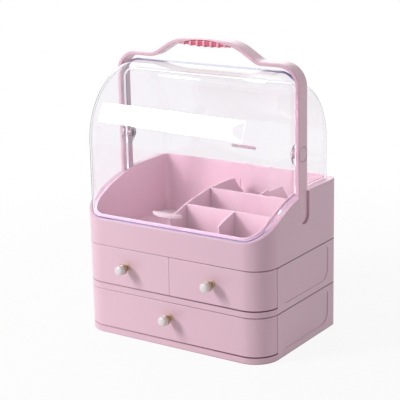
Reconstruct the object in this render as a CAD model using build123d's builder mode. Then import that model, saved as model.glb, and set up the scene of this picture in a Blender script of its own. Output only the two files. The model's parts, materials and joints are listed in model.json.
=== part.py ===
"""Makeup storage case: two drawer tiers, a divided top basin, two clear domed covers and a carrying bail.

Millimetres. X is the width, the drawers face -Y and +Z is up. The origin is the middle of the
footprint, on the surface that the case stands on. Depths named from the front are measured from the
flat front face, and heights are measured from the ground.
"""

import os
from math import asin, degrees, sqrt

from build123d import *

os.makedirs("parts", exist_ok=True)

# Case plan
case_width = 280.0
case_depth = 184.0
front_corner_radius = 33.0
rear_corner_radius = 10.0
wall = 2.5
floor_thickness = 2.5

# Heights of the three tiers
plinth_height = 9.0
base_height = 60.0
strip_height = 9.0
middle_height = 60.3
top_height = 80.2
basin_floor_thickness = 3.5

# Drawer fronts wrap round the front corners as far as this seam
wrap_depth = 31.0
seam_gap = 0.3
front_edge_round = 0.6
seam_round = 0.5

# Ledge that the covers rest on: level at the rear, then one arc that falls towards the front
ledge_flat = 49.0
ledge_radius = 223.0
lip_height = 2.5
lip_wall = 2.0
ledge_round = 1.0
lip_round = 0.6

# Shallow panels sunk in the sides of the two drawer tiers
panel_depth = 0.8
panel_front = 39.5
panel_rear_margin = 23.5
panel_top_margin = 7.5
panel_lower_radius = 15.0
panel_upper_radius = 3.0

# Ribs under the base
under_rib = 2.0
under_rib_pitch_x = 62.0
under_rib_pitch_y = 54.0
under_rib_x_count = 4
under_rib_y_count = 3
centre_boss_radius = 7.0

# Tongues that locate each tier on the one below
tongue_length = 100.0
tongue_centre = 103.5
tongue_thickness = 2.0
tongue_root = 6.5
tongue_rise = 4.5
tongue_gap = 0.25

# Drawers
tray_wall = 2.0
tray_side_gap = 0.5
tray_floor_gap = 0.3
tray_rear_gap = 3.5
tray_rear_radius = 8.0
tray_inner_radius = 3.0
tray_headroom = 2.0
partition = 2.5
partition_roof_gap = 0.5
drawer_travel = 130.0
stop_gap = 1.0
stop_rib = 2.0
stop_rib_length = 60.0
stop_tab_length = 40.0
stop_tab_gap = 2.0

# Knobs
base_knob_rise = 31.0
middle_knob_rise = 27.5
middle_knob_x = 65.0
knob_head_radius = 6.5
knob_head_length = 8.5
knob_nose_radius = 3.0
knob_rim_radius = 1.2
knob_neck_length = 12.5
knob_foot_radius = 4.4
knob_foot_length = 1.2
knob_waist_radius = 3.3
knob_cup_radius = 5.2
knob_cup_length = 3.0
knob_screw_radius = 1.6
knob_screw_head_radius = 3.2
knob_screw_head_length = 2.0
knob_screw_grip = 9.0
screw_hole_gap = 0.15

# Bail, its arms and its slots
bail_thickness = 5.0
bail_depth = 21.5
arm_recess = 2.5
arm_foot_rise = 39.1
slot_gap = 0.4
bail_headroom = 5.0
bail_shoulder_radius = 27.0
bail_kink_x = 78.0
bail_kink_radius = 22.0
grip_start_x = 45.0
grip_start_rise = 20.6
grip_start_radius = 55.0
grip_crown_rise = 3.3
grip_crown_radius = 280.0
bail_edge_round = 1.2

# Ribbed grip insert, a lens under the middle of the bail
insert_half_length = 39.3
insert_end_drop = 6.9
insert_bottom_drop = 9.6
insert_side_gap = 0.3
insert_rib_count = 7
insert_rib_pitch = 10.4
insert_rib_width = 1.8
insert_cell_depth = 0.9

# Clear covers and their shared pivot
cover_wall = 2.0
side_gap = 0.5
front_cover_setback = 1.0
rear_cover_setback = 0.5
pivot_behind_middle = 7.5
pivot_rise = 47.5
dome_rise = 4.0
front_cover_corner = 25.0
rear_cover_corner = 12.5
front_cover_edge_gap = 1.5
rear_cover_overlap = 6.5
front_cover_ledge_gap = 0.7
rear_cover_ledge_gap = 1.0
heel_clearance = 1.0
ear_radius = 15.0

# Pivot pins, outer caps and inner caps
pin_radius = 4.0
pin_running_gap = 0.06
pin_head_radius = 8.0
pin_head_thickness = 1.5
pin_cap_radius = 9.5
pin_cap_thickness = 2.0
pin_cap_gap = 0.15
hub_cap_radius = 7.0
hub_cap_length = 5.0
hub_cap_end = 1.0
hub_cap_round = 1.0

# Lift tabs on the covers
front_tab_width = 46.0
front_tab_reach = 9.0
front_tab_rise = 19.0
rear_tab_width = 40.0
rear_tab_reach = 8.0
rear_tab_rise = 22.3
tab_thickness = 4.4
tab_round = 1.2

# Dividers in the basin
divider_thickness = 2.0
divider_end_gap = 0.3
divider_foot_gap = 0.2
divider_peak_from_front = 125.0
divider_peak_rise = 65.2
divider_crown_radius = 385.0
divider_heel_from_rear = 27.0
divider_heel_rise = 34.2
short_rear_drop = 2.5
cross_front_from_front = 43.0
cross_rear_from_front = 99.0
short_divider_x = 72.0
guide_rib = 1.6
guide_reach = 2.2
guide_gap = 0.15
guide_height = 26.0

# Channels inside the top case's sides, and the bosses that hold the bail's screws
boss_margin = 4.0
boss_height = 8.0
bail_screw_radius = 1.2
bail_screw_head_radius = 2.2
bail_screw_head_length = 1.8
bail_screw_spacing = 10.0
bail_screw_bite = 12.0

# Places worked out from the sizes above
half_width = case_width / 2
front_y = -case_depth / 2
rear_y = case_depth / 2
base_top = base_height
middle_floor = base_top + strip_height
middle_top = base_top + middle_height
ledge_top = middle_top + top_height
basin_floor = middle_top + basin_floor_thickness
ledge_flat_y = rear_y - ledge_flat
seam_y = front_y + wrap_depth

arm_outer_x = half_width - arm_recess
arm_inner_x = arm_outer_x - bail_thickness
front_cover_x = arm_inner_x - side_gap
rear_cover_x = front_cover_x - cover_wall - side_gap
lip_x = rear_cover_x - cover_wall - side_gap
lip_front_y = front_y + front_cover_setback + cover_wall + side_gap
lip_rear_y = rear_y - rear_cover_setback - cover_wall - side_gap
lip_front_radius = front_cover_corner - cover_wall - side_gap
lip_rear_radius = rear_cover_corner - cover_wall - side_gap
basin_x = lip_x - lip_wall
basin_front_y = lip_front_y + lip_wall
basin_rear_y = lip_rear_y - lip_wall

pivot_y = pivot_behind_middle
pivot_z = ledge_top + pivot_rise
dome_z = pivot_z + dome_rise
front_dome_radius = pivot_y - front_y - front_cover_setback
rear_dome_radius = rear_y - rear_cover_setback - pivot_y
bar_z = dome_z + front_dome_radius + bail_headroom + bail_thickness / 2
crown_z = bar_z + grip_start_rise + grip_crown_rise
arm_x = (arm_inner_x + arm_outer_x) / 2
arm_bottom = middle_top + arm_foot_rise
arm_round_z = arm_bottom + bail_depth / 2
sky = crown_z + bail_thickness * 4

ledge_front_z = ledge_top - ledge_radius + sqrt(ledge_radius**2 - (ledge_flat_y - front_y) ** 2)
ledge_pivot_z = ledge_top - ledge_radius + sqrt(ledge_radius**2 - (ledge_flat_y - pivot_y) ** 2)

divider_low = basin_floor + divider_foot_gap
divider_peak = basin_floor + divider_peak_rise
cross_front_y = front_y + cross_front_from_front
cross_rear_y = front_y + cross_rear_from_front

tray_rear_y = rear_y - wall - tray_rear_gap
base_tray_top = base_top - tongue_root - tray_headroom
middle_tray_top = middle_top - tongue_root - tray_headroom


def cornered_plan(left, right, front, rear, radii):
    """Plan view rectangle; radii are front left, front right, rear left and rear right."""
    corners = ((left, front), (right, front), (left, rear), (right, rear))
    with BuildSketch(mode=Mode.PRIVATE) as plan:
        with Locations(((left + right) / 2, (front + rear) / 2)):
            Rectangle(right - left, rear - front)
        for corner, radius in zip(corners, radii):
            fillet(plan.vertices().sort_by_distance(corner)[0], radius)
    return plan.sketch


def case_plan(inset=0.0):
    """Plan of the case, drawn `inset` inside its skin."""
    front_radius = front_corner_radius - inset
    rear_radius = max(rear_corner_radius - inset, 1.0)
    return cornered_plan(
        inset - half_width, half_width - inset, front_y + inset, rear_y - inset,
        (front_radius, front_radius, rear_radius, rear_radius),
    )


def lip_plan(inset=0.0):
    """Plan of the upstanding lip round the basin, drawn `inset` inside its outer face."""
    front_radius = lip_front_radius - inset
    rear_radius = max(lip_rear_radius - inset, 1.0)
    return cornered_plan(
        inset - lip_x, lip_x - inset, lip_front_y + inset, lip_rear_y - inset,
        (front_radius, front_radius, rear_radius, rear_radius),
    )


def above_ledge(raised=0.0):
    """Side view of the space over the ledge, its lower line lifted square to the ledge by `raised`."""
    radius = ledge_radius + raised
    front_end = front_y - wall
    rear_end = rear_y + wall
    turn = degrees(asin((ledge_flat_y - front_end) / radius))
    with BuildSketch(mode=Mode.PRIVATE) as profile:
        with BuildLine():
            fall = CenterArc((ledge_flat_y, ledge_top - ledge_radius), radius, 90, turn)
            Polyline(fall @ 1, (front_end, sky), (rear_end, sky), (rear_end, ledge_top + raised), fall @ 0)
        make_face()
    return profile.sketch


def divider_height(depth, drop=0.0):
    """Height of the dividers' curved top line at a depth from the front."""
    offset = depth - divider_peak_from_front
    return divider_peak - drop - divider_crown_radius + sqrt(divider_crown_radius**2 - offset**2)


def side_walls(low, high):
    """Side and rear walls of a drawer tier, open at the front and rounded along the top outside."""
    with BuildPart(mode=Mode.PRIVATE) as walls:
        with BuildSketch(Plane.XY.offset(low)) as outside:
            add(case_plan())
        extrude(outside.sketch, amount=high - low)
        fillet(walls.edges().group_by(Axis.Z)[-1], seam_round)
        with BuildSketch(Plane.XY.offset(low)) as inside:
            add(case_plan(wall))
            with Locations((0, front_y)):
                Rectangle(case_width, 2 * (wrap_depth + seam_gap / 2))
        extrude(inside.sketch, amount=high - low, mode=Mode.SUBTRACT)
    add(walls.part)


def side_panels(low, high):
    """Sink a panel with rounded lower corners in each side of a tier."""
    panel_y = (front_y + panel_front + rear_y - panel_rear_margin) / 2
    for side in (-1, 1):
        with BuildSketch(Plane.YZ.offset(side * (half_width - panel_depth))) as panel:
            with Locations((panel_y, (low + high) / 2)):
                Rectangle(case_depth - panel_front - panel_rear_margin, high - low)
            fillet(panel.vertices().group_by(Axis.Y)[0], panel_lower_radius)
            fillet(panel.vertices().group_by(Axis.Y)[-1], panel_upper_radius)
        extrude(panel.sketch, amount=side * 2 * panel_depth, mode=Mode.SUBTRACT)


def block(x_range, y_range, z_range, mode=Mode.ADD):
    """Plain block between two corners."""
    with BuildSketch(Plane.XY.offset(z_range[0])) as base:
        with Locations((sum(x_range) / 2, sum(y_range) / 2)):
            Rectangle(x_range[1] - x_range[0], y_range[1] - y_range[0])
    extrude(base.sketch, amount=z_range[1] - z_range[0], mode=mode)


def tongues(top):
    """Upright tongues on the side walls that enter the tier above."""
    skin_x = half_width - wall
    outer_x = skin_x - tongue_gap
    inner_x = outer_x - tongue_thickness
    y_range = (front_y + tongue_centre - tongue_length / 2, front_y + tongue_centre + tongue_length / 2)
    block((inner_x, skin_x), y_range, (top - tongue_root, top))
    block((-skin_x, -inner_x), y_range, (top - tongue_root, top))
    block((inner_x, outer_x), y_range, (top, top + tongue_rise))
    block((-outer_x, -inner_x), y_range, (top, top + tongue_rise))


def stop_ribs(roof, xs, low):
    """Ribs hung under a roof that catch the drawers' rear tabs at full travel."""
    rib_rear_y = tray_rear_y - tray_wall - drawer_travel - stop_gap
    for x in xs:
        x_range = (x - stop_rib_length / 2, x + stop_rib_length / 2)
        block(x_range, (rib_rear_y - stop_rib, rib_rear_y), (low, roof))


def guide_ribs(x, y, toward, low=divider_low):
    """Pair of upright ribs that stand off a face towards `toward` and hold a divider's end."""
    spread = divider_thickness / 2 + guide_gap + guide_rib / 2
    for side in (-spread, spread):
        centre_x = x + toward[0] * guide_reach / 2 + abs(toward[1]) * side
        centre_y = y + toward[1] * guide_reach / 2 + abs(toward[0]) * side
        half_x = (abs(toward[0]) * guide_reach + abs(toward[1]) * guide_rib) / 2
        half_y = (abs(toward[1]) * guide_reach + abs(toward[0]) * guide_rib) / 2
        block(
            (centre_x - half_x, centre_x + half_x), (centre_y - half_y, centre_y + half_y),
            (low, divider_low + guide_height),
        )


# Base: hollow ribbed plinth, floor and the walls of the wide drawer's bay
with BuildPart() as base_cabinet:
    with BuildSketch(Plane.XY):
        add(case_plan())
    extrude(amount=plinth_height)
    fillet(base_cabinet.edges().group_by(Axis.Z)[0], seam_round)
    with BuildSketch(Plane.XY):
        add(case_plan(wall))
    extrude(amount=plinth_height - floor_thickness, mode=Mode.SUBTRACT)
    with BuildSketch(Plane.XY):
        with GridLocations(under_rib_pitch_x, 0, under_rib_x_count, 1):
            Rectangle(under_rib, case_depth)
        with GridLocations(0, under_rib_pitch_y, 1, under_rib_y_count):
            Rectangle(case_width, under_rib)
        Circle(centre_boss_radius)
        add(case_plan(wall), mode=Mode.INTERSECT)
    extrude(amount=plinth_height - floor_thickness)
    side_walls(plinth_height, base_top)
    tongues(base_top)
    side_panels(plinth_height, base_top - panel_top_margin)
base_cabinet.part.label = "base_cabinet"
export_step(base_cabinet.part, "parts/base_cabinet.step")

# Middle tier: hollow floor strip, floor, walls and the partition between the small drawers
with BuildPart() as middle_cabinet:
    with BuildSketch(Plane.XY.offset(base_top)):
        add(case_plan())
    extrude(amount=strip_height)
    fillet(middle_cabinet.edges().group_by(Axis.Z)[0], seam_round)
    with BuildSketch(Plane.XY.offset(base_top)):
        add(case_plan(wall))
    extrude(amount=strip_height - floor_thickness, mode=Mode.SUBTRACT)
    side_walls(middle_floor, middle_top)
    block(
        (-partition / 2, partition / 2),
        (front_y + wall + seam_gap, rear_y - wall),
        (middle_floor, middle_top - partition_roof_gap),
    )
    stop_ribs(middle_floor - floor_thickness, (0,), base_tray_top + stop_tab_gap)
    tongues(middle_top)
    side_panels(middle_floor, middle_top - panel_top_margin)
middle_cabinet.part.label = "middle_cabinet"
export_step(middle_cabinet.part, "parts/middle_cabinet.step")

# Channel moulded up inside the right side of the top case, stopped short over the bail's boss
channel_outer_x = half_width - wall
channel_front_y = front_y + front_corner_radius
channel_rear_y = rear_y - rear_corner_radius
boss_half = bail_depth / 2 + boss_margin
boss_low = arm_bottom - boss_height
with BuildPart() as side_channel:
    block((lip_x, channel_outer_x), (channel_front_y, channel_rear_y), (middle_top, ledge_top))
    with BuildSketch(Plane.YZ):
        add(above_ledge(-wall))
    extrude(amount=half_width, mode=Mode.SUBTRACT)
    block(
        (lip_x, channel_outer_x), (pivot_y - boss_half, pivot_y + boss_half), (boss_low, ledge_top),
        mode=Mode.SUBTRACT,
    )

# Side view of an arm's slot: open above, full round below
with BuildSketch(Plane.YZ.offset(arm_inner_x)) as right_slot:
    with Locations((pivot_y, (arm_round_z + sky) / 2)):
        Rectangle(bail_depth + 2 * slot_gap, sky - arm_round_z)
    with Locations((pivot_y, arm_round_z)):
        Circle(bail_depth / 2 + slot_gap)


def upper_rims(part):
    """Edges of a part that run along its curved top."""
    return part.edges().filter_by(lambda edge: edge.center().Z > ledge_front_z - ledge_round).filter_by(
        Axis.Z, reverse=True
    )


# The basin's wall, rounded along its lip, that stands in the case under the ledge
with BuildPart() as basin_lip:
    with BuildSketch(Plane.XY.offset(basin_floor)):
        add(lip_plan())
        add(lip_plan(lip_wall), mode=Mode.SUBTRACT)
    extrude(amount=sky - basin_floor)
    with BuildSketch(Plane.YZ.offset(-half_width)):
        add(above_ledge(lip_height))
    extrude(amount=case_width, mode=Mode.SUBTRACT)
    fillet(upper_rims(basin_lip), lip_round)

screw_spots = [
    (side * arm_x, pivot_y + step * bail_screw_spacing / 2) for side in (-1, 1) for step in (-1, 1)
]

with BuildPart() as top_case:
    with BuildSketch(Plane.XY.offset(middle_top)):
        add(case_plan())
    extrude(amount=top_height)
    with BuildSketch(Plane.YZ.offset(-half_width)):
        add(above_ledge())
    extrude(amount=case_width, mode=Mode.SUBTRACT)
    fillet(top_case.edges().group_by(Axis.Z)[0], seam_round)
    fillet(upper_rims(top_case), ledge_round)
    with BuildSketch(Plane.XY.offset(basin_floor)):
        add(lip_plan(lip_wall))
    extrude(amount=sky - basin_floor, mode=Mode.SUBTRACT)
    add(basin_lip.part)
    add(side_channel.part, mode=Mode.SUBTRACT)
    add(mirror(side_channel.part, about=Plane.YZ, mode=Mode.PRIVATE), mode=Mode.SUBTRACT)
    extrude(right_slot.sketch, amount=bail_thickness + 2 * arm_recess, mode=Mode.SUBTRACT)
    left_slot = mirror(right_slot.sketch, about=Plane.YZ, mode=Mode.PRIVATE)
    extrude(left_slot, amount=bail_thickness + 2 * arm_recess, mode=Mode.SUBTRACT)
    with BuildSketch(Plane.XY.offset(boss_low)):
        with Locations(*screw_spots):
            Circle(bail_screw_radius + screw_hole_gap)
    extrude(amount=bail_depth, mode=Mode.SUBTRACT)
    stop_ribs(middle_top, (-middle_knob_x, middle_knob_x), middle_tray_top + stop_tab_gap)
    for plate_x in (0, short_divider_x):
        guide_ribs(plate_x, basin_front_y, (0, 1), basin_floor)
        guide_ribs(plate_x, basin_rear_y, (0, -1), basin_floor)
    for plate_y in (cross_front_y, cross_rear_y):
        guide_ribs(basin_x, plate_y, (-1, 0), basin_floor)
top_case.part.label = "top_case"
export_step(top_case.part, "parts/top_case.step")

# Drawers: a tray, a curved front shell and a turned knob each
front_inner_x = half_width - wall
tray_outer_x = front_inner_x - tray_side_gap
tray_inner_x = partition / 2 + tray_side_gap
tray_front_y = front_y + wall
tray_front_radius = front_corner_radius - wall
small_radii = (tray_front_radius, tray_inner_radius, tray_rear_radius, tray_rear_radius)
mirrored_radii = (tray_inner_radius, tray_front_radius, tray_rear_radius, tray_rear_radius)
wide_radii = (tray_front_radius, tray_front_radius, tray_rear_radius, tray_rear_radius)


def drawer_tray(left, right, radii, low, high):
    """Open tray with rounded corners and a stop tab on its rear wall."""
    inner_radii = [max(radius - tray_wall, 1.0) for radius in radii]
    tab_x = (left + right) / 2
    with BuildSketch(Plane.XY.offset(low)) as outside:
        add(cornered_plan(left, right, tray_front_y, tray_rear_y, radii))
    extrude(outside.sketch, amount=high - low)
    with BuildSketch(Plane.XY.offset(low + tray_wall)) as inside:
        add(cornered_plan(
            left + tray_wall, right - tray_wall, tray_front_y + tray_wall, tray_rear_y - tray_wall,
            inner_radii,
        ))
    extrude(inside.sketch, amount=high - low, mode=Mode.SUBTRACT)
    block(
        (tab_x - stop_tab_length / 2, tab_x + stop_tab_length / 2),
        (tray_rear_y - tray_wall, tray_rear_y),
        (high, high + tongue_root),
    )


def drawer_front(left, right, low, high):
    """Curved front shell between two upright seams."""
    with BuildSketch(Plane.XY.offset(low)) as shell:
        add(case_plan())
        add(case_plan(wall), mode=Mode.SUBTRACT)
        with Locations(((left + right) / 2, front_y)):
            Rectangle(right - left, 2 * (wrap_depth - seam_gap / 2), mode=Mode.INTERSECT)
    extrude(shell.sketch, amount=high - low)


def screw_hole(knob_x, knob_z):
    """Hole for a knob's screw, right through a drawer's front walls."""
    with BuildSketch(Plane.XZ.offset(-front_y)) as hole:
        with Locations((knob_x, knob_z)):
            Circle(knob_screw_radius + screw_hole_gap)
    extrude(hole.sketch, amount=-(wall + tray_wall), mode=Mode.SUBTRACT)


# Each drawer: its name, the tray's sides and radii, the front's sides, its low and high edges and its knob
base_low = plinth_height + tray_floor_gap
middle_low = middle_floor + tray_floor_gap
drawers = (
    (
        "bottom", (-tray_outer_x, tray_outer_x), wide_radii, (-half_width, half_width),
        (base_low, base_tray_top, base_top - seam_gap), (0.0, plinth_height + base_knob_rise),
    ),
    (
        "left", (-tray_outer_x, -tray_inner_x), small_radii, (-half_width, -seam_gap),
        (middle_low, middle_tray_top, middle_top - seam_gap), (-middle_knob_x, middle_floor + middle_knob_rise),
    ),
    (
        "right", (tray_inner_x, tray_outer_x), mirrored_radii, (seam_gap, half_width),
        (middle_low, middle_tray_top, middle_top - seam_gap), (middle_knob_x, middle_floor + middle_knob_rise),
    ),
)

for drawer, tray_sides, tray_radii, front_sides, levels, knob_spot in drawers:
    low, tray_top, front_top = levels
    knob_x, knob_z = knob_spot

    with BuildPart() as tray:
        drawer_tray(*tray_sides, tray_radii, low, tray_top)
        screw_hole(knob_x, knob_z)
    tray.part.label = drawer + "_drawer"
    export_step(tray.part, "parts/" + drawer + "_drawer.step")

    with BuildPart() as front_shell:
        drawer_front(*front_sides, low, front_top)
        long_edges = front_shell.edges().group_by(Axis.Z)
        fillet(long_edges[0] + long_edges[-1], front_edge_round)
        screw_hole(knob_x, knob_z)
    front_shell.part.label = drawer + "_drawer_front"
    export_step(front_shell.part, "parts/" + drawer + "_drawer_front.step")

    # The knob's outlines are half sections, turned about an axis square to the front
    knob_plane = Plane((knob_x, front_y, knob_z), x_dir=(1, 0, 0), z_dir=(0, 0, 1))
    knob_axis = Axis((knob_x, front_y, knob_z), (0, 1, 0))
    neck_end = -knob_neck_length
    head_end = neck_end - knob_head_length
    with BuildPart() as knob_neck:
        with BuildSketch(knob_plane):
            with BuildLine():
                foot = Polyline((0, 0), (knob_foot_radius, 0), (knob_foot_radius, -knob_foot_length))
                rim = Polyline(
                    (0, neck_end), (knob_cup_radius, neck_end), (knob_cup_radius, neck_end + knob_foot_length),
                )
                flare = Line(rim @ 1, (knob_waist_radius, neck_end + knob_cup_length + knob_foot_length))
                Line(flare @ 1, foot @ 1)
                Line((0, 0), (0, neck_end))
            make_face()
        revolve(axis=knob_axis)
        with BuildSketch(Plane.XZ.offset(-front_y)):
            with Locations((knob_x, knob_z)):
                Circle(knob_screw_radius)
        extrude(amount=knob_screw_grip, mode=Mode.SUBTRACT)
    knob_neck.part.label = drawer + "_knob_neck"
    export_step(knob_neck.part, "parts/" + drawer + "_knob_neck.step")

    with BuildPart() as knob_head:
        with BuildSketch(Plane.XZ.offset(knob_neck_length - front_y)):
            with Locations((knob_x, knob_z)):
                Circle(knob_head_radius)
        extrude(amount=knob_head_length)
        rims = knob_head.edges().group_by(Axis.Y)
        fillet(rims[0], knob_nose_radius)
        fillet(knob_head.edges().group_by(Axis.Y)[-1], knob_rim_radius)
    knob_head.part.label = drawer + "_knob_head"
    export_step(knob_head.part, "parts/" + drawer + "_knob_head.step")

    screw_seat_y = front_y + wall + tray_wall
    with BuildPart() as knob_screw:
        with BuildSketch(Plane.XZ.offset(-screw_seat_y - knob_screw_head_length)):
            with Locations((knob_x, knob_z)):
                Circle(knob_screw_head_radius)
        extrude(amount=knob_screw_head_length)
        fillet(knob_screw.edges().group_by(Axis.Y)[-1], knob_screw_head_length / 3)
        with BuildSketch(Plane.XZ.offset(-screw_seat_y)):
            with Locations((knob_x, knob_z)):
                Circle(knob_screw_radius)
        extrude(amount=wall + tray_wall + knob_screw_grip)
    knob_screw.part.label = drawer + "_knob_screw"
    export_step(knob_screw.part, "parts/" + drawer + "_knob_screw.step")

# Lens of the grip insert, drawn in front view, with its cells sunk by an inset
insert_end_z = crown_z - insert_end_drop


def lens(bottom_inset=0.0):
    """Front view of the grip insert between its two arcs."""
    left_end = (-insert_half_length, insert_end_z)
    right_end = (insert_half_length, insert_end_z)
    with BuildSketch(Plane.XZ.offset(-pivot_y), mode=Mode.PRIVATE) as outline:
        with BuildLine():
            ThreePointArc(left_end, (0, crown_z), right_end)
            ThreePointArc(left_end, (0, crown_z - insert_bottom_drop + bottom_inset), right_end)
        make_face()
    return outline.sketch


# Bail: one strap bent round the covers, its arms' feet full round, thinned over the grip insert
with BuildPart() as bail:
    with BuildSketch(Plane.XZ.offset(-pivot_y)):
        with BuildLine():
            FilletPolyline(
                (arm_x, arm_bottom), (arm_x, bar_z), (bail_kink_x, bar_z),
                (grip_start_x, bar_z + grip_start_rise), (0, crown_z),
                (-grip_start_x, bar_z + grip_start_rise), (-bail_kink_x, bar_z),
                (-arm_x, bar_z), (-arm_x, arm_bottom),
                radius=(
                    bail_shoulder_radius, bail_kink_radius, grip_start_radius, grip_crown_radius,
                    grip_start_radius, bail_kink_radius, bail_shoulder_radius,
                ),
            )
        trace(line_width=bail_thickness)
    extrude(amount=bail_depth / 2, both=True)
    with BuildSketch(Plane.YZ.offset(-half_width)):
        with Locations((pivot_y, arm_round_z)):
            Circle(bail_depth / 2)
        with Locations((pivot_y, (arm_round_z + sky) / 2)):
            Rectangle(bail_depth, sky - arm_round_z)
    extrude(amount=case_width, mode=Mode.INTERSECT)
    strap_faces = bail.faces().filter_by(Axis.Y)
    fillet(strap_faces.edges(), bail_edge_round)
    extrude(lens(), amount=bail_depth / 2, both=True, mode=Mode.SUBTRACT)
    for side in (-1, 1):
        with BuildSketch(Plane.YZ.offset(side * arm_outer_x)):
            with Locations((pivot_y, pivot_z)):
                Circle(pin_cap_radius)
        extrude(amount=-side * (pin_cap_thickness + pin_head_thickness), mode=Mode.SUBTRACT)
        with BuildSketch(Plane.YZ.offset(side * arm_outer_x)):
            with Locations((pivot_y, pivot_z)):
                Circle(pin_radius)
        extrude(amount=-side * bail_thickness, mode=Mode.SUBTRACT)
    with BuildSketch(Plane.XY.offset(arm_bottom)):
        with Locations(*screw_spots):
            Circle(bail_screw_radius)
    extrude(amount=bail_screw_bite, mode=Mode.SUBTRACT)
bail.part.label = "bail"
export_step(bail.part, "parts/bail.step")

# Grip insert: a core with sunk cells, and ribs that keep the full lens
with BuildPart() as insert_ribs:
    with BuildSketch(Plane.XY.offset(crown_z - insert_bottom_drop)):
        with Locations((0, pivot_y)):
            with GridLocations(insert_rib_pitch, 0, insert_rib_count, 1):
                Rectangle(insert_rib_width, bail_depth)
    extrude(amount=insert_bottom_drop)
    extrude(lens(), amount=bail_depth / 2 - insert_side_gap, both=True, mode=Mode.INTERSECT)

with BuildPart() as grip_insert:
    extrude(lens(insert_cell_depth), amount=bail_depth / 2 - insert_side_gap - insert_cell_depth, both=True)
    add(insert_ribs.part)
grip_insert.part.label = "grip_insert"
export_step(grip_insert.part, "parts/grip_insert.step")

# Four screws driven up from inside the top case into the arms' feet
with BuildPart() as bail_screws:
    with BuildSketch(Plane.XY.offset(boss_low - bail_screw_head_length)):
        with Locations(*screw_spots):
            Circle(bail_screw_head_radius)
    extrude(amount=bail_screw_head_length)
    with BuildSketch(Plane.XY.offset(boss_low)):
        with Locations(*screw_spots):
            Circle(bail_screw_radius)
    extrude(amount=arm_bottom + bail_screw_bite - boss_low)
bail_screws.part.label = "bail_screws"
export_step(bail_screws.part, "parts/bail_screws.step")

# Pivots: a headed pin through each arm and both covers' ears, an outer cap and an inner one
pin_end_x = lip_x - hub_cap_length + hub_cap_end
cap_seat_x = arm_outer_x - pin_cap_thickness
head_seat_x = cap_seat_x - pin_head_thickness
for name, side in (("left", -1), ("right", 1)):
    with BuildPart() as pivot_pin:
        with BuildSketch(Plane.YZ.offset(side * cap_seat_x)):
            with Locations((pivot_y, pivot_z)):
                Circle(pin_head_radius)
        extrude(amount=-side * pin_head_thickness)
        with BuildSketch(Plane.YZ.offset(side * head_seat_x)):
            with Locations((pivot_y, pivot_z)):
                Circle(pin_radius)
        extrude(amount=-side * (head_seat_x - pin_end_x))
    pivot_pin.part.label = "pivot_pin_" + name
    export_step(pivot_pin.part, "parts/pivot_pin_" + name + ".step")

    with BuildPart() as pivot_cap:
        with BuildSketch(Plane.YZ.offset(side * cap_seat_x)):
            with Locations((pivot_y, pivot_z)):
                Circle(pin_cap_radius - pin_cap_gap)
        extrude(amount=side * pin_cap_thickness)
        cap_rims = pivot_cap.edges().filter_by(GeomType.CIRCLE).sort_by(Axis.X)
        fillet(cap_rims[-1 if side > 0 else 0], pin_cap_thickness / 4)
    pivot_cap.part.label = "pivot_cap_" + name
    export_step(pivot_cap.part, "parts/pivot_cap_" + name + ".step")

    with BuildPart() as hub_cap:
        with BuildSketch(Plane.YZ.offset(side * lip_x)):
            with Locations((pivot_y, pivot_z)):
                Circle(hub_cap_radius)
        extrude(amount=-side * hub_cap_length)
        hub_rims = hub_cap.edges().filter_by(GeomType.CIRCLE).sort_by(Axis.X)
        fillet(hub_rims[0 if side > 0 else -1], hub_cap_round)
        with BuildSketch(Plane.YZ.offset(side * lip_x)):
            with Locations((pivot_y, pivot_z)):
                Circle(pin_radius)
        extrude(amount=-side * (lip_x - pin_end_x), mode=Mode.SUBTRACT)
    hub_cap.part.label = "hub_cap_" + name
    export_step(hub_cap.part, "parts/hub_cap_" + name + ".step")


def domed_block(half_span, reach, corner, toward, overlap=0.0):
    """Rounded block under a quarter dome.

    `toward` is -1 for the front cover and 1 for the rear one, and `overlap` is how far the block
    runs on past the pivot, straight and at full height.
    """
    low_y = min(pivot_y, pivot_y + toward * reach)
    high_y = max(pivot_y, pivot_y + toward * reach)
    with BuildSketch(Plane.XY.offset(dome_z)) as section:
        with Locations((0, (low_y + high_y) / 2)):
            Rectangle(2 * half_span, reach)
        fillet(section.vertices().group_by(Axis.Y)[0 if toward < 0 else -1], corner)
    revolve(section.sketch, axis=Axis((0, pivot_y, dome_z), (toward, 0, 0)), revolution_arc=90)
    extrude(section.sketch, amount=-(dome_z - middle_top))
    if overlap:
        with BuildSketch(Plane.XZ.offset(-pivot_y)) as arch:
            with Locations((0, (middle_top + dome_z + reach) / 2)):
                Rectangle(2 * half_span, dome_z + reach - middle_top)
            fillet(arch.vertices().group_by(Axis.Y)[-1], corner)
        extrude(arch.sketch, amount=toward * overlap)


def ears(inner_x):
    """Round ears that turn on the pivot pins."""
    for side in (-1, 1):
        with BuildSketch(Plane.YZ.offset(side * inner_x)) as disc:
            with Locations((pivot_y, pivot_z)):
                Circle(ear_radius)
        extrude(disc.sketch, amount=side * cover_wall)
        with BuildSketch(Plane.YZ.offset(side * inner_x)) as bore:
            with Locations((pivot_y, pivot_z)):
                Circle(pin_radius + pin_running_gap)
        extrude(bore.sketch, amount=side * cover_wall, mode=Mode.SUBTRACT)


# Front cover: the outer one, a quarter dome over upright walls, its foot cut to the ledge
with BuildPart() as front_void:
    domed_block(front_cover_x - cover_wall, front_dome_radius - cover_wall, front_cover_corner - cover_wall, -1)

with BuildPart() as front_cover:
    domed_block(front_cover_x, front_dome_radius, front_cover_corner, -1)
    add(front_void.part, mode=Mode.SUBTRACT)
    with BuildSketch(Plane.YZ.offset(-half_width)):
        add(above_ledge(front_cover_ledge_gap))
    extrude(amount=case_width, mode=Mode.INTERSECT)
    block(
        (-half_width, half_width), (pivot_y - front_cover_edge_gap, pivot_y + wall), (middle_top, sky),
        mode=Mode.SUBTRACT,
    )
    ears(front_cover_x - cover_wall)
front_cover.part.label = "front_cover"
export_step(front_cover.part, "parts/front_cover.step")

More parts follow.
